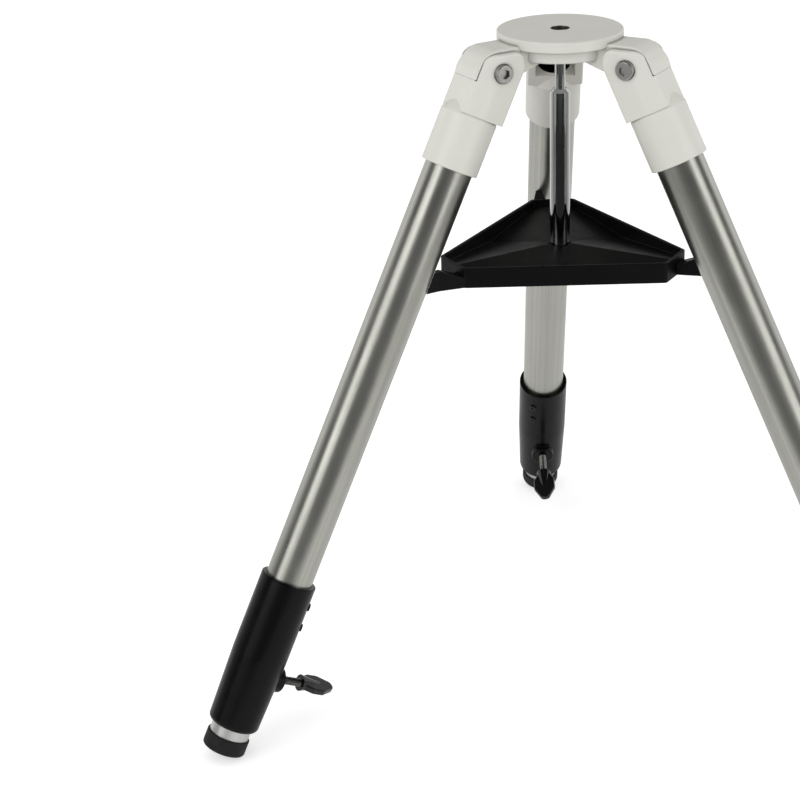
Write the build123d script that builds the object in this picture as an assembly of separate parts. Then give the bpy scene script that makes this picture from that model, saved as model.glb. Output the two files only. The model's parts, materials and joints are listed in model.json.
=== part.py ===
from build123d import *
from math import cos, sin, tan, radians, sqrt
import os

# Field tripod with a round head plate, three telescopic legs, a locking shaft and a spreader tray.
# Millimetres, Z up. The origin is the centre of the top face of the head plate.

# Head casting
plate_diameter = 115.0
plate_thickness = 10.0
plate_edge_round = 1.5
hub_diameter = 98.0
hub_depth = 21.5
hub_edge_round = 2.0
stud_hole_diameter = 17.5
stud_hole_depth = 14.0

# Hinges between head and legs
pivot_beyond_plate = 19.5
pivot_depth = 25.0
spread_angle = 26.5
arm_width = 35.9
arm_top_depth = 6.0
arm_shoulder_reach = 4.0
arm_brow_out = 13.0
arm_brow_drop = 4.5
arm_front_out = 22.0
arm_front_drop = 14.5
arm_brow_round = 16.0
arm_edge_round = 1.5
knuckle_radius = 15.5
heel_distance = 14.5
heel_inner = 6.5
heel_outer = 20.5
bolt_diameter = 10.0
bolt_head_diameter = 17.0
bolt_head_height = 5.0
bolt_head_round = 1.2
bolt_recess_depth = 1.5
bolt_socket_width = 8.0
bolt_socket_depth = 3.5
nut_socket_depth = 2.0

# Leg brackets
cheek_thickness = 7.65
cheek_top_depth = 9.0
bracket_inner_face = 20.5
cheek_inner_crown = 12.0
cheek_inner_shoulder = 12.0
cheek_crown_round = 8.0
cheek_outer_round = 18.0
cheek_edge_round = 2.0
block_length = 44.0
web_thickness = 12.0
hollow_distance = 33.0
collar_start = 36.0
collar_shoulder = 10.0
collar_wall = 4.15
collar_edge_round = 1.0
tube_start = 42.0
core_start = 25.0
core_diameter = 32.0
collar_end = 95.0

# Leg tubes
leg_length = 682.5
tube_diameter = 44.5
tube_wall = 1.5
inner_tube_wall = 1.5
inner_tube_start = 112.0
inner_tube_show = 10.0
bush_wall = 1.62
bush_length = 35.0
bush_lip = 3.0
bush_lip_inside = 3.0

# Clamp sleeves
sleeve_length = 152.5
sleeve_wall = 4.3
sleeve_end_wall = 5.2
tube_in_sleeve = 75.0
sleeve_straight = 78.0
sleeve_top_round = 1.2
sleeve_end_round = 5.0
boss_from_top = 101.0
boss_diameter = 25.0
boss_height = 5.0
boss_edge_round = 1.5
screw_spacing = 21.0
screw_from_top = 20.5
screw_diameter = 4.0
screw_head_diameter = 7.5
screw_head_height = 1.6
screw_head_round = 0.8
screw_slot_length = 4.4
screw_slot_width = 1.0
screw_slot_depth = 0.9
screw_turn = -28.0

# Lock screws and wing knobs
lock_screw_diameter = 8.0
lock_screw_show = 23.5
lock_screw_in_knob = 12.0
knob_length = 37.0
knob_root_diameter = 16.0
knob_core_length = 26.0
knob_core_tip_diameter = 5.0
wing_root_half = 7.5
wing_half_span = 12.0
wing_flare_start = 3.0
wing_flare_end = 12.0
wing_tip_half = 4.0
wing_tip_length = 14.0
wing_thickness = 6.5
wing_corner_round = 5.0
wing_edge_round = 1.8
wing_turn = 13.0

# Rubber feet
foot_wall = 1.7
foot_height = 16.0
foot_socket_depth = 8.0
foot_sole_round = 3.0
foot_lip_round = 1.0

# Locking shaft and its clip ring
stud_diameter = 9.525
stud_tip_depth = 2.0
stud_tip_chamfer = 1.0
grip_start_depth = 55.5
grip_diameter = 18.6
grip_top_chamfer = 3.0
grip_end_chamfer = 0.8
clip_groove_diameter = 8.4
clip_outer_diameter = 15.6
clip_thickness = 1.5
clip_gap_width = 6.0
shaft_thread_below_seat = 33.0

# Spreader tray
tray_rim_depth = 200.5
tray_height = 19.0
tray_wall = 3.0
tray_floor = 3.5
tray_corner_half = 21.0
tray_corner_round = 4.0
tray_ridge_drop = 3.5
tray_seat_drop = 5.7
tray_boss_diameter = 27.0
tray_boss_height = 5.0
tray_edge_round = 0.8
horn_length = 28.0
horn_height = 9.5
horn_tip_height = 18.5
horn_rise_length = 20.0
horn_inner_share = 0.43
horn_outer_share = 0.7
horn_root_inner = 2.0

# Knob under the tray
tray_knob_neck_diameter = 20.0
tray_knob_neck_height = 4.0
tray_knob_height = 13.0
tray_knob_core_diameter = 26.0
tray_knob_lobe_count = 5
tray_knob_lobe_diameter = 13.0
tray_knob_edge_round = 1.5

# Clearances
running_clearance = 0.08
seat_clearance = 0.05
side_clearance = 0.8
tip_clearance = 0.3
stop_clearance = 0.1
knuckle_clearance = 0.7
horn_clearance = 0.4
free_clearance = 0.4
seat_margin = 1.5

# Overshoot of cutting bodies
beyond = 5.0

leg_azimuths = [90.0, 210.0, 330.0]

# Values that follow from the sizes above
lean = radians(spread_angle)
plate_radius = plate_diameter / 2
pivot_radius = plate_radius + pivot_beyond_plate
tube_radius = tube_diameter / 2
bush_radius = tube_radius - tube_wall - running_clearance
inner_tube_radius = bush_radius - bush_wall
foot_radius = inner_tube_radius + foot_wall
collar_radius = tube_radius + collar_wall
slot_width = arm_width + 2 * side_clearance
bracket_width = slot_width + 2 * cheek_thickness
bolt_seat = bracket_width / 2 - bolt_recess_depth
bolt_hole_radius = bolt_diameter / 2 + running_clearance
foot_start = leg_length - foot_height
sleeve_end = foot_start - inner_tube_show
sleeve_start = sleeve_end - sleeve_length
tube_end = sleeve_start + tube_in_sleeve
inner_tube_end = foot_start + foot_socket_depth
sleeve_radius = tube_radius + sleeve_wall
sleeve_bore_radius = inner_tube_radius + running_clearance
sleeve_end_radius = sleeve_bore_radius + sleeve_end_wall
boss_station = sleeve_start + boss_from_top
boss_face = sleeve_radius + boss_height
knob_start = boss_face + lock_screw_show
knob_end = knob_start + knob_length
shaft_seat_depth = tray_rim_depth + tray_seat_drop
tray_bottom_depth = tray_rim_depth + tray_height
tray_valley_drop = tray_height - tray_floor
tray_boss_bottom = shaft_seat_depth + tray_boss_height
horn_middle_depth = tray_bottom_depth - horn_height / 2
leg_line_radius = pivot_radius + (horn_middle_depth - pivot_depth) * tan(lean)
horn_inner = horn_inner_share * tube_radius
horn_outer = horn_outer_share * tube_radius
tray_corner_radius = leg_line_radius - tube_radius / cos(lean) - horn_length


def rod(radius, length):
    return Cylinder(radius, length, align=(Align.CENTER, Align.CENTER, Align.MIN))


def ring(outer_radius, inner_radius, length):
    hole = Pos(0, 0, -beyond) * rod(inner_radius, length + 2 * beyond)
    return rod(outer_radius, length) - hole


def cross_rod(radius, start, end):
    return Rot(-90, 0, 0) * Pos(0, 0, start) * rod(radius, end - start)


def inward_rod(radius, start, end, station):
    return Pos(0, 0, -station) * Rot(0, -90, 0) * Pos(0, 0, start) * rod(radius, end - start)


def turned(points):
    return revolve(Plane.XZ * make_face(Polyline(*points, close=True)), Axis.Z)


def side_slab(profile, width):
    return extrude(Plane.XZ * profile, amount=width / 2, both=True)


def rounded_sides(body, radius):
    by_width = body.faces().sort_by(Axis.Y)
    return fillet(by_width[0].edges() + by_width[-1].edges(), radius)


def round_edges(body, level, radius):
    circles = body.edges().filter_by(GeomType.CIRCLE)
    return fillet([edge for edge in circles if abs(edge.center().Z - level) < radius / 2], radius)


def on_leg(azimuth):
    return Rot(0, 0, azimuth) * Pos(pivot_radius, 0, -pivot_depth) * Rot(0, -spread_angle, 0)


def leg_point(along, out):
    return (
        pivot_radius + along * sin(lean) + out * cos(lean),
        -pivot_depth - along * cos(lean) + out * sin(lean),
    )


def make_arm():
    knuckle_tangent = knuckle_radius / sqrt(2)
    outline = [
        (hub_diameter / 4, -arm_top_depth),
        (pivot_radius + arm_shoulder_reach, -arm_top_depth),
        (pivot_radius + arm_brow_out, -arm_top_depth - arm_brow_drop),
        (pivot_radius + arm_front_out, -arm_top_depth - arm_front_drop),
        leg_point(heel_distance, heel_outer),
        leg_point(heel_distance, heel_inner),
        (pivot_radius - knuckle_tangent, -pivot_depth - knuckle_tangent),
        (hub_diameter / 4, -hub_depth),
    ]
    profile = make_face(Polyline(*outline, close=True))
    brow = [corner for corner in profile.vertices() if corner.X > pivot_radius and corner.Y > -pivot_depth]
    profile = fillet(brow, arm_brow_round)
    profile = profile + Pos(pivot_radius, -pivot_depth) * Circle(knuckle_radius)
    return rounded_sides(side_slab(profile, arm_width), arm_edge_round)


def make_head():
    plate = Pos(0, 0, -plate_thickness) * rod(plate_radius, plate_thickness)
    plate = fillet(plate.edges().filter_by(GeomType.CIRCLE), plate_edge_round)
    hub = Pos(0, 0, -hub_depth) * rod(hub_diameter / 2, hub_depth - plate_edge_round)
    hub = round_edges(hub, -hub_depth, hub_edge_round)
    head = plate + hub
    for azimuth in leg_azimuths:
        head = head + Rot(0, 0, azimuth) * make_arm()
    for azimuth in leg_azimuths:
        bolt_hole = cross_rod(bolt_hole_radius, -bracket_width, bracket_width)
        head = head - on_leg(azimuth) * bolt_hole
    head = head - Pos(0, 0, -stud_hole_depth) * rod(stud_hole_diameter / 2, stud_hole_depth + beyond)
    head = head - Pos(0, 0, -hub_depth - beyond) * rod(stud_diameter / 2 + running_clearance, hub_depth)
    return head


def make_fork_block():
    crown_rise = pivot_depth - cheek_top_depth
    outline = [
        (heel_outer, -block_length),
        (heel_outer, (crown_rise - heel_outer * sin(lean)) / cos(lean)),
        (-cheek_inner_crown, (crown_rise + cheek_inner_crown * sin(lean)) / cos(lean)),
        (-bracket_inner_face, cheek_inner_shoulder),
        (-bracket_inner_face, -block_length),
    ]
    profile = make_face(Polyline(*outline, close=True))
    outer_crown = [corner for corner in profile.vertices() if corner.X > 0 and corner.Y > -block_length]
    profile = fillet(outer_crown, cheek_outer_round)
    inner_crown = [corner for corner in profile.vertices() if corner.X < 0 and corner.Y > -block_length]
    slab = side_slab(fillet(inner_crown, cheek_crown_round), bracket_width)
    inner_half = Pos(-bracket_width / 4, 0) * Rectangle(bracket_width / 2, bracket_width)
    section = Circle(bracket_width / 2) + inner_half
    block = slab & Pos(0, 0, -block_length) * extrude(section, 2 * block_length)
    crest = block.edges().filter_by(Axis.Y, reverse=True).filter_by_position(Axis.Z, 0, block_length)
    return fillet(crest, cheek_edge_round)


def make_bracket():
    collar = turned(
        [
            (0, -collar_start),
            (heel_outer, -collar_start),
            (collar_radius, -collar_start - collar_shoulder),
            (collar_radius, -collar_end),
            (0, -collar_end),
        ]
    )
    collar = round_edges(collar, -collar_end, collar_edge_round)
    slot_height = heel_distance + stop_clearance
    slot_reach = 2 * bracket_width
    slot = Pos(0, 0, slot_reach / 2 - slot_height) * Box(slot_reach, slot_width, slot_reach)
    pocket = cross_rod(knuckle_radius + knuckle_clearance, -slot_width / 2, slot_width / 2)
    hollow_middle = heel_outer - web_thickness - slot_reach / 2
    hollow = Pos(hollow_middle, 0, slot_reach / 2 - hollow_distance) * Box(slot_reach, slot_width, slot_reach)
    socket_length = collar_end - tube_start
    socket = Pos(0, 0, -collar_end - beyond) * rod(tube_radius + seat_clearance, socket_length + beyond)
    core = Pos(0, 0, -collar_end) * rod(core_diameter / 2, collar_end - core_start)
    bracket = make_fork_block() + collar - slot - pocket - hollow - socket - core
    bracket = bracket - cross_rod(bolt_hole_radius, -bracket_width, bracket_width)
    recess_radius = bolt_head_diameter / 2 + free_clearance
    bracket = bracket - cross_rod(recess_radius, bolt_seat, bracket_width)
    return bracket - cross_rod(recess_radius, -bracket_width, -bolt_seat)


def bolt_head(start, socket_depth):
    head = rod(bolt_head_diameter / 2, bolt_head_height)
    head = round_edges(head, bolt_head_height, bolt_head_round)
    socket = RegularPolygon(bolt_socket_width / 2, 6, major_radius=False)
    socket_floor = bolt_head_height - socket_depth
    head = head - Pos(0, 0, socket_floor) * extrude(socket, socket_depth + beyond)
    return Pos(0, 0, start) * head


def make_hinge_bolt():
    shank_end = bolt_seat + bolt_head_height / 2
    shank = Pos(0, 0, -shank_end) * rod(bolt_diameter / 2, shank_end + bolt_seat)
    return Rot(-90, 0, 0) * (bolt_head(bolt_seat, bolt_socket_depth) + shank)


def make_hinge_nut():
    thread = rod(bolt_diameter / 2 + seat_clearance, bolt_seat + bolt_head_height / 2 + seat_clearance)
    return Rot(90, 0, 0) * (bolt_head(bolt_seat, nut_socket_depth) - thread)


def sleeve_screw_stations():
    first = sleeve_start + screw_from_top
    return [first, first + screw_spacing]


def make_outer_tube():
    tube = Pos(0, 0, -tube_end) * ring(tube_radius, tube_radius - tube_wall, tube_end - tube_start)
    hole_radius = screw_diameter / 2 + seat_clearance
    for station in sleeve_screw_stations():
        hole = inward_rod(hole_radius, inner_tube_radius, sleeve_radius, station)
        tube = tube - Rot(0, 0, screw_turn) * hole
    return tube


def make_clamp_sleeve():
    body = turned(
        [
            (0, -sleeve_start),
            (sleeve_radius, -sleeve_start),
            (sleeve_radius, -sleeve_start - sleeve_straight),
            (sleeve_end_radius, -sleeve_end),
            (0, -sleeve_end),
        ]
    )
    body = round_edges(body, -sleeve_start, sleeve_top_round)
    body = round_edges(body, -sleeve_end, sleeve_end_round)
    boss = rod(boss_diameter / 2, boss_face)
    boss = round_edges(boss, boss_face, boss_edge_round)
    body = body + Pos(0, 0, -boss_station) * Rot(0, -90, 0) * boss
    socket_end = tube_end + seat_clearance
    socket = Pos(0, 0, -socket_end) * rod(tube_radius + seat_clearance, socket_end)
    body = body - socket - Pos(0, 0, -leg_length) * rod(sleeve_bore_radius, leg_length)
    body = body - inward_rod(lock_screw_diameter / 2 + running_clearance, 0, knob_end, boss_station)
    hole_radius = screw_diameter / 2 + seat_clearance
    for station in sleeve_screw_stations():
        hole = inward_rod(hole_radius, 0, knob_end, station)
        body = body - Rot(0, 0, screw_turn) * hole
    return body


def make_sleeve_screws():
    screws = Part()
    shank_start = tube_radius - tube_wall / 2
    for station in sleeve_screw_stations():
        head = rod(screw_head_diameter / 2, screw_head_height)
        head = round_edges(head, screw_head_height, screw_head_round)
        slot = Pos(0, 0, screw_head_height) * Box(screw_slot_length, screw_slot_width, 2 * screw_slot_depth)
        head = head - slot - Rot(0, 0, 90) * slot
        head = Pos(0, 0, -station) * Rot(0, -90, 0) * Pos(0, 0, sleeve_radius) * head
        shank = inward_rod(screw_diameter / 2, shank_start, sleeve_radius + seat_clearance, station)
        screws = screws + head + shank
    return Rot(0, 0, screw_turn) * screws


def make_lock_screw():
    tip = inner_tube_radius + tip_clearance
    return inward_rod(lock_screw_diameter / 2, tip, knob_start + lock_screw_in_knob, boss_station)


def make_lock_knob():
    upward = (Align.CENTER, Align.CENTER, Align.MIN)
    core = Cone(knob_root_diameter / 2, knob_core_tip_diameter / 2, knob_core_length, align=upward)
    half = [
        (wing_root_half, 0),
        (wing_root_half, wing_flare_start),
        (wing_half_span, wing_flare_end),
        (wing_half_span, knob_length - wing_tip_length),
        (wing_tip_half, knob_length),
    ]
    outline = half + [(-across, along) for across, along in reversed(half)]
    wing = make_face(Polyline(*outline, close=True))
    corners = [corner for corner in wing.vertices() if corner.Y > wing_flare_start]
    wing = side_slab(fillet(corners, wing_corner_round), wing_thickness)
    wing = rounded_sides(wing, wing_edge_round)
    knob = core + wing - rod(lock_screw_diameter / 2, lock_screw_in_knob)
    knob = Pos(0, 0, knob_start) * Rot(0, 0, 90 + wing_turn) * knob
    return Pos(0, 0, -boss_station) * Rot(0, -90, 0) * knob


def make_inner_tube():
    length = inner_tube_end - inner_tube_start
    return Pos(0, 0, -inner_tube_end) * ring(inner_tube_radius, inner_tube_radius - inner_tube_wall, length)


def make_guide_bush():
    collar = Pos(0, 0, -inner_tube_start - bush_length) * ring(bush_radius, inner_tube_radius, bush_length)
    lip_hole = inner_tube_radius - inner_tube_wall - bush_lip_inside
    return collar + Pos(0, 0, -inner_tube_start) * ring(bush_radius, lip_hole, bush_lip)


def make_foot():
    foot = Pos(0, 0, -leg_length) * rod(foot_radius, foot_height)
    foot = round_edges(foot, -leg_length, foot_sole_round)
    foot = round_edges(foot, -foot_start, foot_lip_round)
    spigot = inner_tube_radius - inner_tube_wall - seat_clearance
    return foot - Pos(0, 0, -inner_tube_end) * ring(inner_tube_radius, spigot, foot_height)


def make_shaft():
    stud = stud_diameter / 2
    grip = grip_diameter / 2
    groove = clip_groove_diameter / 2
    grip_end = shaft_seat_depth - stop_clearance
    groove_end = stud_hole_depth
    groove_start = stud_hole_depth - clip_thickness - 2 * stop_clearance
    thread_end = shaft_seat_depth + shaft_thread_below_seat
    return turned(
        [
            (0, -stud_tip_depth),
            (stud - stud_tip_chamfer, -stud_tip_depth),
            (stud, -stud_tip_depth - stud_tip_chamfer),
            (stud, -groove_start),
            (groove, -groove_start),
            (groove, -groove_end),
            (stud, -groove_end),
            (stud, -grip_start_depth),
            (grip - grip_top_chamfer, -grip_start_depth),
            (grip, -grip_start_depth - grip_top_chamfer),
            (grip, -grip_end + grip_end_chamfer),
            (grip - grip_end_chamfer, -grip_end),
            (stud, -grip_end),
            (stud, -thread_end + stud_tip_chamfer),
            (stud - stud_tip_chamfer, -thread_end),
            (0, -thread_end),
        ]
    )


def make_clip():
    inner = clip_groove_diameter / 2 + running_clearance
    clip = ring(clip_outer_diameter / 2, inner, clip_thickness)
    gap = Pos(clip_outer_diameter / 2, 0, 0) * Box(clip_outer_diameter, clip_gap_width, 2 * beyond)
    return Pos(0, 0, -stud_hole_depth + stop_clearance) * (clip - gap)


def tray_outline(inset):
    reach = tray_corner_radius - inset
    side = tray_corner_radius * sin(radians(30)) + tray_corner_half * cos(radians(30)) - inset
    half = (side - reach * sin(radians(30))) / cos(radians(30))
    outline = []
    for azimuth in leg_azimuths:
        for across in (-half, half):
            corner = Rot(0, 0, azimuth) * Pos(reach, across)
            outline.append((corner.position.X, corner.position.Y))
    sketch = make_face(Polyline(*outline, close=True))
    return fillet(sketch.vertices(), tray_corner_round)


def tray_roof(drop):
    side = tray_corner_radius * sin(radians(30)) + tray_corner_half * cos(radians(30))
    slope = (tray_valley_drop - tray_ridge_drop) / (side * sin(radians(60)))
    foot = tray_height / slope
    roof = Part()
    ridge_level = -tray_rim_depth - tray_ridge_drop - drop
    gable = Plane.YZ * make_face(Polyline((foot, -tray_height), (0, 0), (-foot, -tray_height), close=True))
    for azimuth in leg_azimuths:
        roof = roof + Pos(0, 0, ridge_level) * Rot(0, 0, azimuth) * extrude(gable, 2 * tray_corner_radius)
    return roof


def make_horn():
    root = tray_corner_radius - tray_wall
    tip = tray_corner_radius + 2 * horn_length
    blade_end = tray_corner_radius + horn_length
    outline = [
        (root, horn_root_inner),
        (blade_end - beyond, horn_inner),
        (tip, horn_inner),
        (tip, horn_outer),
        (blade_end - beyond, horn_outer),
        (root, tray_corner_half),
    ]
    plan = extrude(make_face(Polyline(*outline, close=True)), horn_tip_height)
    flank = [
        (root, 0),
        (tip, 0),
        (tip, horn_tip_height),
        (tray_corner_radius + horn_rise_length, horn_tip_height),
        (tray_corner_radius, horn_height),
        (root, horn_height),
    ]
    flank = side_slab(make_face(Polyline(*flank, close=True)), 2 * tube_diameter)
    return Pos(0, 0, -tray_bottom_depth) * (plan & flank)


def make_tray():
    outer = extrude(tray_outline(0), tray_height)
    wall = Pos(0, 0, -tray_bottom_depth) * (outer - extrude(tray_outline(tray_wall), tray_height))
    rim = [edge for edge in wall.edges() if edge.center().Z > -tray_rim_depth - tray_edge_round / 2]
    wall = fillet(rim, tray_edge_round)
    room = Pos(0, 0, -tray_bottom_depth) * extrude(tray_outline(tray_wall / 2), tray_height)
    tray = wall + ((tray_roof(0) - tray_roof(tray_floor)) & room)
    tray = tray + Pos(0, 0, -tray_boss_bottom) * rod(tray_boss_diameter / 2, tray_boss_height)
    tray = tray - Pos(0, 0, -shaft_seat_depth) * rod(grip_diameter / 2 + seat_margin, tray_height)
    for azimuth in leg_azimuths:
        tray = tray + Rot(0, 0, azimuth) * make_horn()
    for azimuth in leg_azimuths:
        leg_space = Pos(0, 0, -leg_length) * rod(tube_radius + horn_clearance, leg_length)
        tray = tray - on_leg(azimuth) * leg_space
    thread_hole = rod(stud_diameter / 2 + free_clearance, tray_height)
    return tray - Pos(0, 0, -shaft_seat_depth - tray_height / 2) * thread_hole


def make_tray_knob():
    core_radius = tray_knob_core_diameter / 2
    star = Circle(core_radius)
    star = star + PolarLocations(core_radius, tray_knob_lobe_count) * Circle(tray_knob_lobe_diameter / 2)
    knob = extrude(star, tray_knob_height)
    ends = [edge for edge in knob.edges() if edge.center().Z in (0, tray_knob_height)]
    knob = fillet(ends, tray_knob_edge_round)
    knob = knob + rod(tray_knob_neck_diameter / 2, tray_knob_height + tray_knob_neck_height)
    knob = knob - rod(stud_diameter / 2 + running_clearance, tray_height)
    knob_top = tray_boss_bottom + stop_clearance
    return Pos(0, 0, -knob_top - tray_knob_height - tray_knob_neck_height) * knob


def save(shape, name):
    export_step(shape, "parts/" + name + ".step")


os.makedirs("parts", exist_ok=True)

save(make_head(), "tripod_head")
save(make_shaft(), "locking_shaft")
save(make_clip(), "stud_clip")
save(make_tray(), "tray")
save(make_tray_knob(), "tray_knob")

leg_pieces = {
    "bracket": make_bracket(),
    "hinge_bolt": make_hinge_bolt(),
    "hinge_nut": make_hinge_nut(),
    "outer_tube": make_outer_tube(),
    "clamp_sleeve": make_clamp_sleeve(),
    "sleeve_screws": make_sleeve_screws(),
    "lock_screw": make_lock_screw(),
    "lock_knob": make_lock_knob(),
    "inner_tube": make_inner_tube(),
    "guide_bush": make_guide_bush(),
    "foot": make_foot(),
}
for number, azimuth in enumerate(leg_azimuths, start=1):
    for piece, shape in leg_pieces.items():
        save(on_leg(azimuth) * shape, f"leg_{number}_{piece}")
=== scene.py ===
import json
import math
import bpy
from mathutils import Matrix, Vector


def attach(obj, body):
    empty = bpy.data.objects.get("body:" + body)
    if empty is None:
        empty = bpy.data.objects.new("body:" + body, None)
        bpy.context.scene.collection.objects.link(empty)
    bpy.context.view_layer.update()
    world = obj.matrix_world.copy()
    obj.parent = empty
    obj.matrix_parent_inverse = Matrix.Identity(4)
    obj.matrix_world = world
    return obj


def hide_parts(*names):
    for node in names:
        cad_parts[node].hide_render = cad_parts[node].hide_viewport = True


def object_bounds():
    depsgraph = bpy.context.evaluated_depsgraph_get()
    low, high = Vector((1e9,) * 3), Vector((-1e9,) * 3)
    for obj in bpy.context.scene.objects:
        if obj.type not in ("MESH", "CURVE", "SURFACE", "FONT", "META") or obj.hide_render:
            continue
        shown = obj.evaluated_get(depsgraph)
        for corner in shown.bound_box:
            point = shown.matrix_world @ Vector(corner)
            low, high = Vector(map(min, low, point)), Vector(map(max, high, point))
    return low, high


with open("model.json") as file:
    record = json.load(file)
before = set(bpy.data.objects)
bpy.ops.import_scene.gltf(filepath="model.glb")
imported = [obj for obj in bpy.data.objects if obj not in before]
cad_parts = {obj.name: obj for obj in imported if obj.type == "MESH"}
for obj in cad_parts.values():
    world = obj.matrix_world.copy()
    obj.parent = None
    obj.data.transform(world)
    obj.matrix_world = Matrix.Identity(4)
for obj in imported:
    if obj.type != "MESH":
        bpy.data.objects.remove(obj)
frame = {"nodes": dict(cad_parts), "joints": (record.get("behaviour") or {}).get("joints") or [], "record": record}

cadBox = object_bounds()
nodes = frame["nodes"]
joints = {joint["name"]: joint for joint in frame["joints"]}
mounts = {mount["name"]: mount for mount in frame["record"]["mounts"]}
legNumbers = (1, 2, 3)
millimetre = 0.001


# The sRGB curve, channel by channel
def hexToLinear(code):
    channels = [int(code[i : i + 2], 16) / 255 for i in (1, 3, 5)]
    linear = [c / 12.92 if c <= 0.04045 else ((c + 0.055) / 1.055) ** 2.4 for c in channels]
    return (*linear, 1.0)


def perMetre(sizeMm):
    return 1 / (sizeMm * millimetre)


def addNode(tree, kind, settings={}, values={}, links={}):
    node = tree.nodes.new("ShaderNode" + kind)
    for name, value in settings.items():
        setattr(node, name, value)
    for name, value in values.items():
        node.inputs[name].default_value = value
    for name, socket in links.items():
        tree.links.new(socket, node.inputs[name])
    return node


def newMaterial(name):
    material = bpy.data.materials.new(name)
    material.use_nodes = True
    material.node_tree.nodes.clear()
    return material


def closeMaterial(material, shader):
    addNode(material.node_tree, "OutputMaterial", links={"Surface": shader.outputs[0]})
    return material


def dress(nodeName, material):
    data = nodes[nodeName].data
    data.materials.clear()
    data.materials.append(material)


# Colour sockets of the Mix node, which has one set of sockets for each kind of data
mixColour = {"data_type": "RGBA"}
colourA, colourB, colourOut = 6, 7, 2
noiseSpan = {"From Min": 0.3, "From Max": 0.7}  # most values of a noise texture lie between these


# Directions of one leg, read from its joints: hinge point, hinge axis and the line of the tube
def legFrame(number):
    hinge = joints[f"leg_{number}_fold"]
    along = Vector(joints[f"leg_{number}_extend"]["axis"]).normalized()
    across = Vector(hinge["axis"]).normalized()
    outward = across.cross(-along).normalized()
    turn = Matrix((outward, across, -along))
    return Vector(hinge["pos_m"]), turn


# Texture space in metres: plain object space, or a leg's own space with Z up the tube
def textureSpace(tree, leg=None):
    coordinates = addNode(tree, "TexCoord").outputs["Object"]
    if leg is None:
        return coordinates
    pivot, turn = legFrame(leg)
    values = {"Location": -(turn @ pivot), "Rotation": turn.to_euler("XYZ")}
    return addNode(tree, "Mapping", values=values, links={"Vector": coordinates}).outputs[0]


# How far a point lies on an edge, 0 on flat ground, from the turn of a rounded normal
def edgeShare(tree, radiusMm, reach):
    rounded = addNode(tree, "Bevel", {"samples": 6}, {"Radius": radiusMm * millimetre})
    plain = addNode(tree, "NewGeometry")
    links = {0: rounded.outputs[0], 1: plain.outputs["Normal"]}
    facing = addNode(tree, "VectorMath", {"operation": "DOT_PRODUCT"}, links=links)
    values = {"From Min": 1.0, "From Max": 1.0 - reach, "To Min": 0.0, "To Max": 1.0}
    share = addNode(tree, "MapRange", values=values, links={"Value": facing.outputs["Value"]})
    return share.outputs[0], rounded.outputs[0]


# Powder coat on cast aluminium: a thick soft skin with fine orange peel, its edges rubbed a little paler,
# painted shade darkening the corners at the hinges
headPaint = {
    "colour": "#DAD9D2",
    "tint": "#D0CFC6",
    "rubbed": "#E6E5E0",
    # colour of the painted shade that darkens the corners, most at the hinges
    "paintedShade": "#6F6C63",
    "paintedShadeMm": 4,
    "paintedShadeFrom": (0.90, 0.45),  # openness of a corner at which the painted shade starts, and at which it is full
    "paintedShadeMost": 0.85,
    "paintedShadeDepthMm": (50, 43),  # the painted shade gathers at the hinges, above this depth under the plate face
    "paintedShadeElsewhere": 0.15,  # share of the painted shade that is left lower down
    "tintMm": 60,
    "scuffMm": 5,
    "peelMm": 2.2,  # real orange peel is nearer 1 mm, drawn coarser so that it shows
    "peelHeightMm": 0.035,
    "wavesMm": 18,
    "wavesHeightMm": 0.10,
    "edgeMm": 0.9,
    "edgeReach": 0.06,
    "roughness": (0.36, 0.50),
    "boreMm": 8.9,  # the stud hole is bored after coating, so its wall is bare metal, coloured darker than bare aluminium as painted shade inside the hole
    "boreMetalAndShade": "#8E8D89",
}


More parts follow.
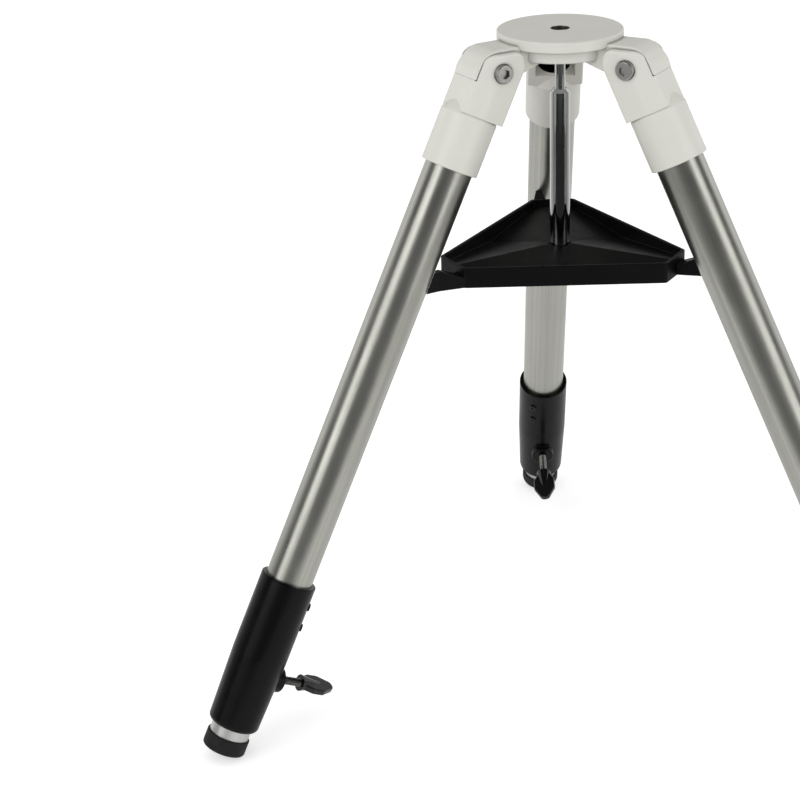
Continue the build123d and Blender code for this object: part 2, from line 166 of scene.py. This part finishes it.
def powderCoatedCasting(name, look):
    material = newMaterial(name)
    tree = material.node_tree
    space = textureSpace(tree)
    tint = addNode(
        tree,
        "TexNoise",
        values={"Scale": perMetre(look["tintMm"]), "Detail": 4},
        links={"Vector": space},
    )
    base = addNode(
        tree,
        "Mix",
        mixColour,
        {colourA: hexToLinear(look["colour"]), colourB: hexToLinear(look["tint"])},
        {0: tint.outputs["Fac"]},
    )
    edge, rounded = edgeShare(tree, look["edgeMm"], look["edgeReach"])
    scuff = addNode(
        tree,
        "TexNoise",
        values={"Scale": perMetre(look["scuffMm"]), "Detail": 5},
        links={"Vector": space},
    )
    scuffed = addNode(tree, "Math", {"operation": "MULTIPLY"}, links={0: edge, 1: scuff.outputs["Fac"]})
    rubbed = addNode(
        tree,
        "Mix",
        mixColour,
        {colourB: hexToLinear(look["rubbed"])},
        {0: scuffed.outputs[0], colourA: base.outputs[colourOut]},
    )
    # Painted shade: corners darkened by how enclosed they are, strongest at the hinges and fainter lower down
    corner = addNode(tree, "AmbientOcclusion", {"samples": 8}, {"Distance": look["paintedShadeMm"] * millimetre})
    start, full = look["paintedShadeFrom"]
    cornerShade = addNode(
        tree,
        "MapRange",
        values={"From Min": start, "From Max": full, "To Min": 0.0, "To Max": look["paintedShadeMost"]},
        links={"Value": corner.outputs["AO"]},
    )
    height = addNode(tree, "SeparateXYZ", links={0: space}).outputs["Z"]
    low, high = (-depth * millimetre for depth in look["paintedShadeDepthMm"])
    hinge = addNode(
        tree,
        "MapRange",
        values={"From Min": low, "From Max": high, "To Min": look["paintedShadeElsewhere"], "To Max": 1.0},
        links={"Value": height},
    )
    links = {0: cornerShade.outputs[0], 1: hinge.outputs[0]}
    hingeShade = addNode(tree, "Math", {"operation": "MULTIPLY"}, links=links)
    colour = addNode(
        tree,
        "Mix",
        mixColour,
        {colourB: hexToLinear(look["paintedShade"])},
        {0: hingeShade.outputs[0], colourA: rubbed.outputs[colourOut]},
    )
    glossy, dull = look["roughness"]
    gloss = addNode(
        tree,
        "MapRange",
        values={**noiseSpan, "To Min": glossy, "To Max": dull},
        links={"Value": tint.outputs["Fac"]},
    )
    flat = addNode(tree, "VectorMath", {"operation": "MULTIPLY"}, {1: (1, 1, 0)}, {0: space})
    reach = addNode(tree, "VectorMath", {"operation": "LENGTH"}, links={0: flat.outputs[0]})
    bored = addNode(
        tree,
        "Math",
        {"operation": "LESS_THAN"},
        {1: look["boreMm"] * millimetre},
        {0: reach.outputs["Value"]},
    )
    # Bare metal on the bore wall, its colour darkened as painted shade inside the stud hole
    bare = addNode(
        tree,
        "Mix",
        mixColour,
        {colourB: hexToLinear(look["boreMetalAndShade"])},
        {0: bored.outputs[0], colourA: colour.outputs[colourOut]},
    )
    peel = addNode(
        tree,
        "TexNoise",
        values={"Scale": perMetre(look["peelMm"]), "Detail": 1},
        links={"Vector": space},
    )
    waves = addNode(
        tree,
        "TexNoise",
        values={"Scale": perMetre(look["wavesMm"]), "Detail": 2},
        links={"Vector": space},
    )
    wavy = addNode(
        tree,
        "Bump",
        values={"Strength": 1.0, "Distance": look["wavesHeightMm"] * millimetre},
        links={"Height": waves.outputs["Fac"], "Normal": rounded},
    )
    skin = addNode(
        tree,
        "Bump",
        values={"Strength": 1.0, "Distance": look["peelHeightMm"] * millimetre},
        links={"Height": peel.outputs["Fac"], "Normal": wavy.outputs[0]},
    )
    shader = addNode(
        tree,
        "BsdfPrincipled",
        values={"IOR": 1.5},
        links={
            "Base Color": bare.outputs[colourOut],
            "Metallic": bored.outputs[0],
            "Roughness": gloss.outputs[0],
            "Normal": skin.outputs[0],
        },
    )
    return closeMaterial(material, shader)


paintedCasting = powderCoatedCasting("powderCoatedCastAluminium", headPaint)
dress("tripod_head", paintedCasting)
for number in legNumbers:
    dress(f"leg_{number}_bracket", paintedCasting)
print("painted castings dressed")


# Stainless tube, drawn and brushed lengthwise: long fine streaks that spread the reflections sideways
tubeSteel = {
    "colour": "#C1C1BA",
    "shade": "#9D9D95",
    "streakMm": 2.4,  # grit lines are about 0.1 mm apart, drawn coarser so that they show
    "streakLengthMm": 420,
    "streakHeightMm": 0.02,
    "handledMm": 45,
    "roughness": (0.26, 0.40),
}


# Aluminium tube, drawn and satin anodised: paler and softer than the steel, with short faint streaks
innerTubeAluminium = {
    "colour": "#D4D4D2",
    "shade": "#C4C4C2",
    "streakMm": 1.6,  # drawing lines are finer, drawn coarser so that they show
    "streakLengthMm": 90,
    "streakHeightMm": 0.006,
    "handledMm": 30,
    "roughness": (0.32, 0.44),
}


# A tube's gloss follows its handling marks and, with this weight, its streaks; the sum keeps to this span
streakWeight = 0.6
glossSpan = {"From Min": 0.45, "From Max": 1.15}


def drawnTube(name, look, leg):
    material = newMaterial(name)
    tree = material.node_tree
    space = textureSpace(tree, leg)
    squeeze = (1, 1, look["streakMm"] / look["streakLengthMm"])
    stretched = addNode(tree, "VectorMath", {"operation": "MULTIPLY"}, {1: squeeze}, {0: space})
    streaks = addNode(
        tree,
        "TexNoise",
        values={"Scale": perMetre(look["streakMm"]), "Detail": 3, "Roughness": 0.6},
        links={"Vector": stretched.outputs[0]},
    )
    handled = addNode(
        tree,
        "TexNoise",
        values={"Scale": perMetre(look["handledMm"]), "Detail": 4, "Roughness": 0.55},
        links={"Vector": space},
    )
    colour = addNode(
        tree,
        "Mix",
        mixColour,
        {colourA: hexToLinear(look["colour"]), colourB: hexToLinear(look["shade"])},
        {0: streaks.outputs["Fac"]},
    )
    both = addNode(
        tree,
        "Math",
        {"operation": "MULTIPLY_ADD"},
        {1: streakWeight},
        {0: streaks.outputs["Fac"], 2: handled.outputs["Fac"]},
    )
    glossy, dull = look["roughness"]
    gloss = addNode(
        tree,
        "MapRange",
        values={**glossSpan, "To Min": glossy, "To Max": dull},
        links={"Value": both.outputs[0]},
    )
    brushed = addNode(
        tree,
        "Bump",
        values={"Strength": 1.0, "Distance": look["streakHeightMm"] * millimetre},
        links={"Height": streaks.outputs["Fac"]},
    )
    shader = addNode(
        tree,
        "BsdfPrincipled",
        values={"Metallic": 1.0},
        links={
            "Base Color": colour.outputs[colourOut],
            "Roughness": gloss.outputs[0],
            "Normal": brushed.outputs[0],
        },
    )
    return closeMaterial(material, shader)


for number in legNumbers:
    dress(f"leg_{number}_outer_tube", drawnTube(f"brushedStainless_{number}", tubeSteel, number))
    dress(f"leg_{number}_inner_tube", drawnTube(f"anodisedAluminium_{number}", innerTubeAluminium, number))
print("leg tubes dressed")


# Nylon, moulded in a spark-eroded mould: satin black, edges greyed by handling, a little dust on top
sleeveNylon = {
    "colour": "#070707",
    "worn": "#242425",
    "dust": "#4A4946",
    "dustShare": 0.012,
    "textureMm": 1.3,  # the spark texture is about 0.3 mm, drawn coarser so that it shows
    "textureHeightMm": 0.025,
    "flowMm": 25,
    "edgeMm": 0.8,
    "roughness": (0.24, 0.34),
    "sheen": 0.15,
    "coat": 0.0,
}


# ABS, moulded: black and duller than the sleeves, paler where hands have rubbed the rims
trayAbs = {
    "colour": "#080808",
    "worn": "#292A2B",
    "dust": "#55544F",
    "dustShare": 0.012,
    "textureMm": 1.5,  # the same spark texture, drawn coarser so that it shows
    "textureHeightMm": 0.03,
    "flowMm": 40,
    "edgeMm": 0.9,
    "roughness": (0.34, 0.48),
    "sheen": 0.14,
    "coat": 0.0,
}


# Phenolic resin, moulded and polished: glossy black, with soft waves in its reflections
knobPhenolic = {
    "colour": "#0C0C0D",
    "worn": "#2B2B2C",
    "dust": "#3A3936",
    "dustShare": 0.03,
    "textureMm": 4,  # polishing waves
    "textureHeightMm": 0.01,
    "flowMm": 12,
    "edgeMm": 0.6,
    "roughness": (0.12, 0.22),
    "sheen": 0.35,
    "coat": 0.2,
}


# Nylon, turned: dark grey and matt, hidden inside the tube
bushNylon = {
    "colour": "#2A2A2A",
    "worn": "#4A4A4A",
    "dust": "#4A4946",
    "dustShare": 0.02,
    "textureMm": 2,  # turning marks are finer, drawn coarser so that they show
    "textureHeightMm": 0.01,
    "flowMm": 15,
    "edgeMm": 0.4,
    "roughness": (0.40, 0.55),
    "sheen": 0.4,
    "coat": 0.0,
}


# Rubber, moulded: matt black with a coarse skin, browned at the edges by the ground
footRubber = {
    "colour": "#0D0D0D",
    "worn": "#33312F",
    "dust": "#5A564E",
    "dustShare": 0.035,
    "textureMm": 0.9,  # grain of a blasted mould
    "textureHeightMm": 0.05,
    "flowMm": 10,
    "edgeMm": 0.8,
    "roughness": (0.62, 0.80),
    "sheen": 0.4,
    "coat": 0.0,
}


# What all the black pieces share: how far an edge reaches, which way up dust lies, and the polish of a coat
mouldedEdgeReach = 0.08
dustFacing = {"From Min": 0.3, "From Max": 1.0}
coatRoughness = 0.08


def mouldedPlastic(name, look):
    material = newMaterial(name)
    tree = material.node_tree
    space = textureSpace(tree)
    flow = addNode(
        tree,
        "TexNoise",
        values={"Scale": perMetre(look["flowMm"]), "Detail": 5, "Roughness": 0.6},
        links={"Vector": space},
    )
    edge, rounded = edgeShare(tree, look["edgeMm"], mouldedEdgeReach)
    handled = addNode(tree, "Math", {"operation": "MULTIPLY"}, links={0: edge, 1: flow.outputs["Fac"]})
    worn = addNode(
        tree,
        "Mix",
        mixColour,
        {colourA: hexToLinear(look["colour"]), colourB: hexToLinear(look["worn"])},
        {0: handled.outputs[0]},
    )
    facing = addNode(tree, "SeparateXYZ", links={0: addNode(tree, "NewGeometry").outputs["Normal"]})
    thickest = 2 * look["dustShare"]  # twice, because the flow that thins it is a half on average
    settled = addNode(
        tree,
        "MapRange",
        values={**dustFacing, "To Min": 0.0, "To Max": thickest},
        links={"Value": facing.outputs["Z"]},
    )
    links = {0: settled.outputs[0], 1: flow.outputs["Fac"]}
    dusty = addNode(tree, "Math", {"operation": "MULTIPLY"}, links=links)
    colour = addNode(
        tree,
        "Mix",
        mixColour,
        {colourB: hexToLinear(look["dust"])},
        {0: dusty.outputs[0], colourA: worn.outputs[colourOut]},
    )
    glossy, dull = look["roughness"]
    gloss = addNode(
        tree,
        "MapRange",
        values={**noiseSpan, "To Min": glossy, "To Max": dull},
        links={"Value": flow.outputs["Fac"]},
    )
    spark = addNode(
        tree,
        "TexNoise",
        values={"Scale": perMetre(look["textureMm"]), "Detail": 2},
        links={"Vector": space},
    )
    skin = addNode(
        tree,
        "Bump",
        values={"Strength": 1.0, "Distance": look["textureHeightMm"] * millimetre},
        links={"Height": spark.outputs["Fac"], "Normal": rounded},
    )
    shader = addNode(
        tree,
        "BsdfPrincipled",
        values={
            "Metallic": 0.0,
            "IOR": 1.5,
            "Specular IOR Level": look["sheen"],
            "Coat Weight": look["coat"],
            "Coat Roughness": coatRoughness,
        },
        links={
            "Base Color": colour.outputs[colourOut],
            "Roughness": gloss.outputs[0],
            "Normal": skin.outputs[0],
        },
    )
    return closeMaterial(material, shader)


blackNylon = mouldedPlastic("mouldedNylonSleeve", sleeveNylon)
blackAbs = mouldedPlastic("mouldedAbsTray", trayAbs)
blackPhenolic = mouldedPlastic("polishedPhenolicKnob", knobPhenolic)
blackBush = mouldedPlastic("turnedNylonBush", bushNylon)
blackRubber = mouldedPlastic("mouldedRubberFoot", footRubber)
dress("tray", blackAbs)
dress("tray_knob", blackAbs)
for number in legNumbers:
    dress(f"leg_{number}_clamp_sleeve", blackNylon)
    dress(f"leg_{number}_lock_knob", blackPhenolic)
    dress(f"leg_{number}_guide_bush", blackBush)
    dress(f"leg_{number}_foot", blackRubber)
print("black mouldings dressed")


# Chrome plate on turned and polished steel: a mirror, with faintly clouded patches
shaftChrome = {
    "colour": "#DEE0E1",
    "stain": "#C9CBCC",
    "stainMm": 14,
    "grainMm": 3,  # polishing waves
    "grainHeightMm": 0.002,
    "roughness": (0.03, 0.10),
}


# Zinc plate on forged bolts: satin light grey, mottled, with soft highlights
boltZinc = {
    "colour": "#C2C1BD",
    "stain": "#A3A29E",
    "stainMm": 6,
    "grainMm": 1.2,  # the forged skin is finer, drawn coarser so that it shows
    "grainHeightMm": 0.02,
    "roughness": (0.28, 0.42),
}


# Black oxide on small screws: dark and slightly oily
screwOxide = {
    "colour": "#3A3A3C",
    "stain": "#2A2A2B",
    "stainMm": 4,
    "grainMm": 1.0,  # the etched skin is finer, drawn coarser so that it shows
    "grainHeightMm": 0.02,
    "roughness": (0.35, 0.50),
}


# Zinc plate on a rolled thread, dulled by use: mid grey
lockZinc = {
    "colour": "#8E8D89",
    "stain": "#716F6B",
    "stainMm": 5,
    "grainMm": 1.0,  # the rolled skin is finer, drawn coarser so that it shows
    "grainHeightMm": 0.01,
    "roughness": (0.22, 0.36),
}


# Spring steel, stamped and left plain: mid grey, a little uneven
clipSpring = {
    "colour": "#8A8985",
    "stain": "#6F6E6A",
    "stainMm": 3,
    "grainMm": 1.0,  # the stamped skin is finer, drawn coarser so that it shows
    "grainHeightMm": 0.01,
    "roughness": (0.30, 0.45),
}


def platedSteel(name, look):
    material = newMaterial(name)
    tree = material.node_tree
    space = textureSpace(tree)
    stain = addNode(
        tree,
        "TexNoise",
        values={"Scale": perMetre(look["stainMm"]), "Detail": 4, "Roughness": 0.6},
        links={"Vector": space},
    )
    colour = addNode(
        tree,
        "Mix",
        mixColour,
        {colourA: hexToLinear(look["colour"]), colourB: hexToLinear(look["stain"])},
        {0: stain.outputs["Fac"]},
    )
    glossy, dull = look["roughness"]
    gloss = addNode(
        tree,
        "MapRange",
        values={**noiseSpan, "To Min": glossy, "To Max": dull},
        links={"Value": stain.outputs["Fac"]},
    )
    grain = addNode(
        tree,
        "TexNoise",
        values={"Scale": perMetre(look["grainMm"]), "Detail": 2},
        links={"Vector": space},
    )
    skin = addNode(
        tree,
        "Bump",
        values={"Strength": 1.0, "Distance": look["grainHeightMm"] * millimetre},
        links={"Height": grain.outputs["Fac"]},
    )
    shader = addNode(
        tree,
        "BsdfPrincipled",
        values={"Metallic": 1.0},
        links={
            "Base Color": colour.outputs[colourOut],
            "Roughness": gloss.outputs[0],
            "Normal": skin.outputs[0],
        },
    )
    return closeMaterial(material, shader)


chrome = platedSteel("chromePlatedSteel", shaftChrome)
zinc = platedSteel("zincPlatedSteel", boltZinc)
oxide = platedSteel("blackOxideSteel", screwOxide)
lockSteel = platedSteel("zincPlatedThread", lockZinc)
spring = platedSteel("springSteelClip", clipSpring)
dress("locking_shaft", chrome)
dress("stud_clip", spring)
for number in legNumbers:
    dress(f"leg_{number}_hinge_bolt", zinc)
    dress(f"leg_{number}_hinge_nut", zinc)
    dress(f"leg_{number}_sleeve_screws", oxide)
    dress(f"leg_{number}_lock_screw", lockSteel)
print("steels dressed")


# Rolled threads on the locking shaft and the lock screws, cut into the outline that the CAD mesh has
shaftThread = {"pitchMm": 1.5875, "depthMm": 0.85, "sides": 40, "ringsPerTurn": 12}
lockThread = {"pitchMm": 1.25, "depthMm": 0.65, "sides": 32, "ringsPerTurn": 12}
sameSpot = 0.02 * millimetre  # distances and radii closer than this count as equal
sharpAngle = math.radians(38)


# Steps of a turned piece along its axis, as (distance, radius), read from the CAD mesh
def turnedOutline(nodeName, origin, axis):
    spots = []
    for vertex in nodes[nodeName].data.vertices:
        arm = vertex.co - origin
        along = arm.dot(axis)
        spots.append((along, (arm - along * axis).length))
    spots.sort()
    outline = []
    while spots:
        level = spots[0][0]
        ring = sorted(radius for along, radius in spots if along < level + sameSpot)
        spots = spots[len(ring) :]
        radii = [ring[0], ring[-1]] if ring[-1] - ring[0] > sameSpot else [ring[0]]
        if outline and abs(radii[0] - outline[-1][1]) > abs(radii[-1] - outline[-1][1]):
            radii.reverse()
        outline += [(level, radius) for radius in radii]
    return outline


# Radii of one ring of the thread, side by side: a round groove that winds once for each pitch
def threadRing(radius, depth, turns):
    return [radius - depth * (1 - math.cos(2 * math.pi * turn)) / 2 for turn in turns]


def threadedRod(name, nodeName, origin, axis, threadRadius, thread):
    outline = turnedOutline(nodeName, origin, axis)
    pitch = thread["pitchMm"] * millimetre
    sides = thread["sides"]
    spans = [
        i
        for i in range(len(outline) - 1)
        if max(abs(radius - threadRadius) for along, radius in outline[i : i + 2]) < sameSpot
    ]
    rings = []
    for i, (along, radius) in enumerate(outline):
        rings.append((along, [radius] * sides))
        if i not in (spans[0], spans[-1]):
            continue
        length = outline[i + 1][0] - along
        count = int(length / pitch * thread["ringsPerTurn"])
        for k in range(1, count):
            run = length * k / count
            depth = thread["depthMm"] * millimetre * min(1, run / pitch, (length - run) / pitch)
            turns = [run / pitch - side / sides for side in range(sides)]
            rings.append((along + run, threadRing(radius, depth, turns)))
    across = axis.orthogonal().normalized()
    beside = axis.cross(across)
    points = []
    for along, radii in rings:
        for side, radius in enumerate(radii):
            turn = 2 * math.pi * side / sides
            arm = across * math.cos(turn) + beside * math.sin(turn)
            points.append(origin + axis * along + arm * radius)
    faces = [tuple(range(sides))[::-1], tuple(range(len(points) - sides, len(points)))]
    for ring in range(len(rings) - 1):
        for side in range(sides):
            after = (side + 1) % sides
            start = ring * sides
            faces.append((start + side, start + after, start + sides + after, start + sides + side))
    mesh = bpy.data.meshes.new(name)
    mesh.from_pydata(points, [], faces)
    mesh.shade_smooth()
    mesh.set_sharp_from_angle(angle=sharpAngle)
    piece = bpy.data.objects.new(name, mesh)
    bpy.context.scene.collection.objects.link(piece)
    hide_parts(nodeName)
    return piece


studRadius = mounts["stud"]["dims"]["r_mm"] * millimetre
top, down = Vector((0, 0, 0)), Vector((0, 0, -1))
shaft = threadedRod("threadedShaft", "locking_shaft", top, down, studRadius, shaftThread)
shaft.data.materials.append(chrome)
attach(shaft, "shaft")
for number in legNumbers:
    joint = joints[f"leg_{number}_lock_turn"]
    axis = Vector(joint["axis"]).normalized()
    source = f"leg_{number}_lock_screw"
    origin = Vector(joint["pos_m"])
    screwRadius = turnedOutline(source, origin, axis)[0][1]
    screw = threadedRod(f"threadedLockScrew_{number}", source, origin, axis, screwRadius, lockThread)
    screw.data.materials.append(lockSteel)
    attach(screw, f"leg_{number}_lock")
print("threads cut")


# Stage: a pale paper floor that fades into the white background, with wide soft boxes left and right
stage = {
    "floorSize": 12.0,
    "floorColour": "#E4E4E4",
    "floorGlow": (0.47, 0.21),  # seen by the camera, and seen in reflections
    "skyFill": 0.75,
    "lamps": {
        "keyLeft": {"place": (-2.2, -1.9, 0.8), "size": (1.6, 2.4), "watts": 27},
        "fillRight": {"place": (2.3, -1.7, 0.7), "size": (1.5, 2.2), "watts": 18},
    },
    "aim": (0.0, 0.0, -0.3),
    "room": {
        "paper": ((-0.95, -0.95), (0.95, 1.6)),  # the part of the floor that the paper covers
        "walls": ((-3.4, -3.6), (3.4, 3.6)),
        "height": 3.2,
        "dark": (-0.9, 0.025),  # distance towards the camera and brightness there
        "light": (1.8, 0.85),  # the same towards the far wall
        "behind": (-1.8, -3.6, 0.20),  # where it lifts again behind the camera, and by how much
        "dimming": (0.2, 1.1, 0.12),  # heights between which the walls fade, and the share that is left
    },
    "cards": {
        "cardFrontRight": {"place": (1.75, -1.70, -0.35), "size": (1.15, 0.60), "glow": 2.9},
        "cardFrontLeft": {"place": (-1.75, -1.70, -0.35), "size": (1.15, 0.60), "glow": 0.6},
        "cardLeft": {"place": (-2.0, 0.85, 0.2), "size": (1.0, 1.2), "glow": 1.2},
        "cardRight": {"place": (2.0, 0.85, 0.2), "size": (1.0, 1.2), "glow": 1.2},
        "cardRearLeft": {"place": (-2.2, 2.0, 1.0), "size": (1.4, 2.0), "glow": 0.8},
        "cardRearRight": {"place": (2.2, 2.0, 1.0), "size": (1.4, 2.0), "glow": 0.8},
    },
}


# 1 for rays that see the background, straight or in a mirror, and 0 for rays that gather light
def backgroundShare(tree):
    path = addNode(tree, "LightPath").outputs
    links = {0: path["Is Camera Ray"], 1: path["Is Glossy Ray"]}
    glossy = addNode(tree, "Math", {"operation": "MAXIMUM"}, links=links)
    links = {0: glossy.outputs[0], 1: path["Is Transmission Ray"]}
    return addNode(tree, "Math", {"operation": "MAXIMUM"}, links=links).outputs[0]


def makeWorld(look):
    world = bpy.data.worlds.new("softRoom")
    world.use_nodes = True
    tree = world.node_tree
    tree.nodes.clear()
    strength = addNode(
        tree,
        "MapRange",
        values={"To Min": look["skyFill"], "To Max": 1.0},
        links={"Value": backgroundShare(tree)},
    )
    light = addNode(
        tree, "Background", values={"Color": (1, 1, 1, 1)}, links={"Strength": strength.outputs[0]}
    )
    addNode(tree, "OutputWorld", links={"Surface": light.outputs[0]})
    bpy.context.scene.world = world


# The studio hangs on one ground point that keeps under the lowest sole, so the floor is right at any pose
def makeGround():
    ground = bpy.data.objects.new("studioGround", None)
    ground.location.z = cadBox[0].z
    bpy.context.scene.collection.objects.link(ground)
    for number in legNumbers:
        spots = [vertex.co for vertex in nodes[f"leg_{number}_foot"].data.vertices]
        mark = bpy.data.objects.new(f"soleMark_{number}", None)
        mark.location = min(spots, key=lambda spot: spot.z)
        bpy.context.scene.collection.objects.link(mark)
        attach(mark, f"leg_{number}_lower")
        limit = ground.constraints.new("FLOOR")
        limit.target = mark
        limit.floor_location = "FLOOR_NEGATIVE_Z"
    return ground


def standOn(ground, thing):
    thing.parent = ground
    thing.matrix_parent_inverse = Matrix.Translation((0, 0, -cadBox[0].z))


def makeStageMesh(name, points, faces, material, ground):
    mesh = bpy.data.meshes.new(name)
    mesh.from_pydata(points, [], faces)
    mesh.materials.append(material)
    thing = bpy.data.objects.new(name, mesh)
    bpy.context.scene.collection.objects.link(thing)
    standOn(ground, thing)
    return thing


def makeFloor(look, ground):
    material = newMaterial("paleStudioFloor")
    tree = material.node_tree
    matt = addNode(tree, "BsdfDiffuse", values={"Color": hexToLinear(look["floorColour"])})
    seen = addNode(tree, "LightPath").outputs["Is Camera Ray"]
    direct, mirrored = look["floorGlow"]
    level = addNode(tree, "MapRange", values={"To Min": mirrored, "To Max": direct}, links={"Value": seen})
    links = {0: level.outputs[0], 1: backgroundShare(tree)}
    share = addNode(tree, "Math", {"operation": "MULTIPLY"}, links=links)
    glow = addNode(tree, "Emission", values={"Color": (1, 1, 1, 1)}, links={"Strength": share.outputs[0]})
    both = addNode(tree, "AddShader", links={0: matt.outputs[0], 1: glow.outputs[0]})
    closeMaterial(material, both)
    half = look["floorSize"] / 2
    low = cadBox[0].z
    corners = [(-half, -half, low), (half, -half, low), (half, half, low), (-half, half, low)]
    makeStageMesh("studioFloor", corners, [(0, 1, 2, 3)], material, ground)


def aimAt(thing, place, target):
    thing.location = Vector(place)
    thing.rotation_mode = "QUATERNION"
    thing.rotation_quaternion = (Vector(target) - Vector(place)).to_track_quat("-Z", "Y")


def makeLamps(look, ground):
    for name, lamp in look["lamps"].items():
        data = bpy.data.lights.new(name, "AREA")
        data.shape = "RECTANGLE"
        data.size, data.size_y = lamp["size"]
        data.energy = lamp["watts"]
        thing = bpy.data.objects.new(name, data)
        bpy.context.scene.collection.objects.link(thing)
        aimAt(thing, lamp["place"], look["aim"])
        standOn(ground, thing)


def showOnlyInReflections(thing):
    thing.visible_camera = False
    thing.visible_diffuse = False
    thing.visible_shadow = False


# The room around the paper, dim on the camera's side and seen only by reflections: it draws the bands
# down bright metal
def makeRoom(look, ground):
    room = look["room"]
    material = newMaterial("dimStudioRoom")
    tree = material.node_tree
    place = addNode(tree, "SeparateXYZ", links={0: textureSpace(tree)})
    values = {
        "From Min": room["dark"][0],
        "From Max": room["light"][0],
        "To Min": room["dark"][1],
        "To Max": room["light"][1],
    }
    depth = addNode(tree, "MapRange", values=values, links={"Value": place.outputs["Y"]})
    lower, upper, remaining = room["dimming"]
    values = {"From Min": lower, "From Max": upper, "To Min": 1.0, "To Max": remaining}
    height = addNode(tree, "MapRange", values=values, links={"Value": place.outputs["Z"]})
    near, far, lift = room["behind"]
    values = {"From Min": near, "From Max": far, "To Min": 0.0, "To Max": lift}
    behind = addNode(tree, "MapRange", values=values, links={"Value": place.outputs["Y"]})
    links = {0: depth.outputs[0], 1: behind.outputs[0]}
    level = addNode(tree, "Math", {"operation": "ADD"}, links=links)
    links = {0: level.outputs[0], 1: height.outputs[0]}
    strength = addNode(tree, "Math", {"operation": "MULTIPLY"}, links=links)
    closeMaterial(material, addNode(tree, "Emission", links={"Strength": strength.outputs[0]}))
    low = cadBox[0].z + millimetre
    high = low + room["height"]
    points = []
    for outline, z in ((room["paper"], low), (room["walls"], low), (room["walls"], high)):
        (left, front), (right, back) = outline
        points += [(left, front, z), (right, front, z), (right, back, z), (left, back, z)]
    faces = [(8, 9, 10, 11)]  # ceiling, then the floor round the paper and the walls
    for ring in (0, 4):
        for i in range(4):
            after = (i + 1) % 4
            faces.append((ring + i, ring + after, ring + 4 + after, ring + 4 + i))
    showOnlyInReflections(makeStageMesh("studioRoom", points, faces, material, ground))


# Pale cards that lift the reflections at the right of the tubes, and behind them for views from the rear
def makeCards(look, ground):
    for name, card in look["cards"].items():
        material = newMaterial(name + "Paper")
        closeMaterial(material, addNode(material.node_tree, "Emission", values={"Strength": card["glow"]}))
        wide, high = (side / 2 for side in card["size"])
        corners = [(-wide, -high, 0), (wide, -high, 0), (wide, high, 0), (-wide, high, 0)]
        thing = makeStageMesh(name, corners, [(0, 1, 2, 3)], material, ground)
        aimAt(thing, card["place"], look["aim"])
        showOnlyInReflections(thing)


makeWorld(stage)
studioGround = makeGround()
makeFloor(stage, studioGround)
makeLamps(stage, studioGround)
makeRoom(stage, studioGround)
makeCards(stage, studioGround)
print("stage set")


# Camera of the photograph, found by fitting the head plate, the tubes and the tray to it: metres, degrees
# and, for sensor and lens, millimetres
camera = {
    "place": (-0.1120, -1.8008, 0.4290),
    "swing": 1.404,
    "tilt": 66.25,
    "roll": -1.962,
    "sensor": 36.0,
    "lens": 90.52,
}


def makeCamera(look):
    data = bpy.data.cameras.new("photoCamera")
    data.sensor_width = look["sensor"]
    data.lens = look["lens"]
    thing = bpy.data.objects.new("photoCamera", data)
    bpy.context.scene.collection.objects.link(thing)
    swing = Matrix.Rotation(math.radians(look["swing"]), 4, "Z")
    tilt = Matrix.Rotation(math.radians(look["tilt"]), 4, "X")
    roll = Matrix.Rotation(math.radians(look["roll"]), 4, "Z")
    thing.matrix_world = Matrix.Translation(look["place"]) @ swing @ tilt @ roll
    bpy.context.scene.camera = thing


makeCamera(camera)
bpy.context.scene.view_settings.view_transform = "Standard"
print("camera placed")
